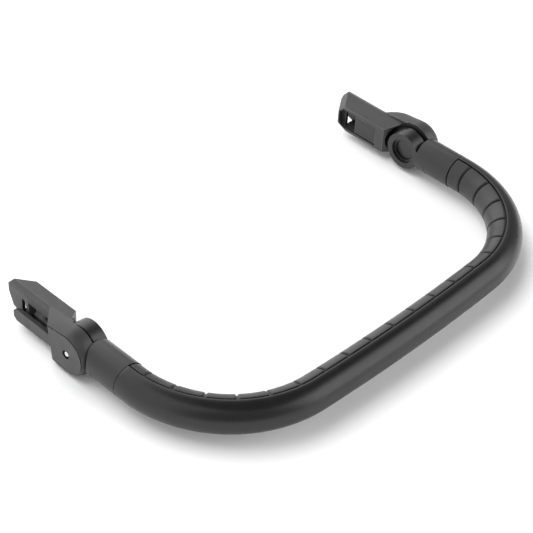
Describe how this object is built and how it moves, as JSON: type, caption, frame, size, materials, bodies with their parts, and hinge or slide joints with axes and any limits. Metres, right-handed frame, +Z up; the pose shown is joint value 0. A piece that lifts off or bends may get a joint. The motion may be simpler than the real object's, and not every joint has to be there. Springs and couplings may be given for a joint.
{
  "type": "pushchair bumper bar",
  "caption": "Padded U-shaped bumper bar for a pushchair seat, with a hinged adapter on each arm that plugs onto the seat frame and is released by a push button.",
  "frame": {"origin": "on the middle plane, halfway between the front of the bar and the tips of the adapters, level with the lowest point of the hinge ears", "axes": "+X to the right-hand arm, +Y from the crossbar towards the adapters' tips, +Z up when the bar lies level"},
  "size_m": [0.416, 0.2553, 0.0416],
  "materials": {
    "soft_cover": "matte soft-touch, fine grain",
    "grip_pads": "matte soft-touch, fine grain",
    "black_plastic": "fine spark-eroded grain",
    "sleeve_plastic": "satin, fine grain",
    "latch_plastic": "grey acetal",
    "button_plastic": "fine grain",
    "washer_plastic": "plain nylon",
    "tube_steel": "galvanised tube",
    "pin_steel": "bright turned steel",
    "spring_steel": "spring wire",
    "screw_steel": "black zinc"
  },
  "bodies": {
    "bar": {"bar_tube": "tube_steel", "outer_cover": "soft_cover", "grip_strip": "grip_pads", "right_end_sleeve": "sleeve_plastic", "right_sleeve_keeper": "sleeve_plastic", "right_keeper_screw": "screw_steel", "right_pivot_cap": "sleeve_plastic", "right_friction_washer": "washer_plastic", "left_end_sleeve": "sleeve_plastic", "left_sleeve_keeper": "sleeve_plastic", "left_keeper_screw": "screw_steel", "left_pivot_cap": "sleeve_plastic", "left_friction_washer": "washer_plastic"},
    "right_adapter": {"right_adapter_block": "black_plastic", "right_adapter_housing": "black_plastic", "right_housing_dowel": "pin_steel", "right_pivot_pin": "pin_steel", "right_button_spring": "spring_steel"},
    "right_button": {"right_release_button": "button_plastic"},
    "right_latch": {"right_latch": "latch_plastic"},
    "left_adapter": {"left_adapter_block": "black_plastic", "left_adapter_housing": "black_plastic", "left_housing_dowel": "pin_steel", "left_pivot_pin": "pin_steel", "left_button_spring": "spring_steel"},
    "left_button": {"left_release_button": "button_plastic"},
    "left_latch": {"left_latch": "latch_plastic"}
  },
  "joints": [
    {"name": "right_hinge", "type": "hinge", "parent": "bar", "child": "right_adapter", "pos_m": [0.1937, 0.04375, 0.0208], "axis": [1, 0, 0], "range_deg": [-75, 50]},
    {"name": "right_button_push", "type": "slide", "parent": "right_adapter", "child": "right_button", "axis": [1, 0, 0], "range_m": [0, 0.003], "stiffness_N_per_m": 800, "springref_m": -0.003, "deforming": ["right_button_spring"]},
    {"name": "right_latch_slide", "type": "slide", "parent": "right_adapter", "child": "right_latch", "axis": [1, 0, 0], "range_m": [0, 0.003]},
    {"name": "left_hinge", "type": "hinge", "parent": "bar", "child": "left_adapter", "pos_m": [-0.1937, 0.04375, 0.0208], "axis": [1, 0, 0], "range_deg": [-75, 50]},
    {"name": "left_button_push", "type": "slide", "parent": "left_adapter", "child": "left_button", "axis": [-1, 0, 0], "range_m": [0, 0.003], "stiffness_N_per_m": 800, "springref_m": -0.003, "deforming": ["left_button_spring"]},
    {"name": "left_latch_slide", "type": "slide", "parent": "left_adapter", "child": "left_latch", "axis": [-1, 0, 0], "range_m": [0, 0.003]}
  ],
  "couplings": [
    {"joint": "right_latch_slide", "follows": "right_button_push", "ratio": 1},
    {"joint": "left_latch_slide", "follows": "left_button_push", "ratio": 1}
  ]
}
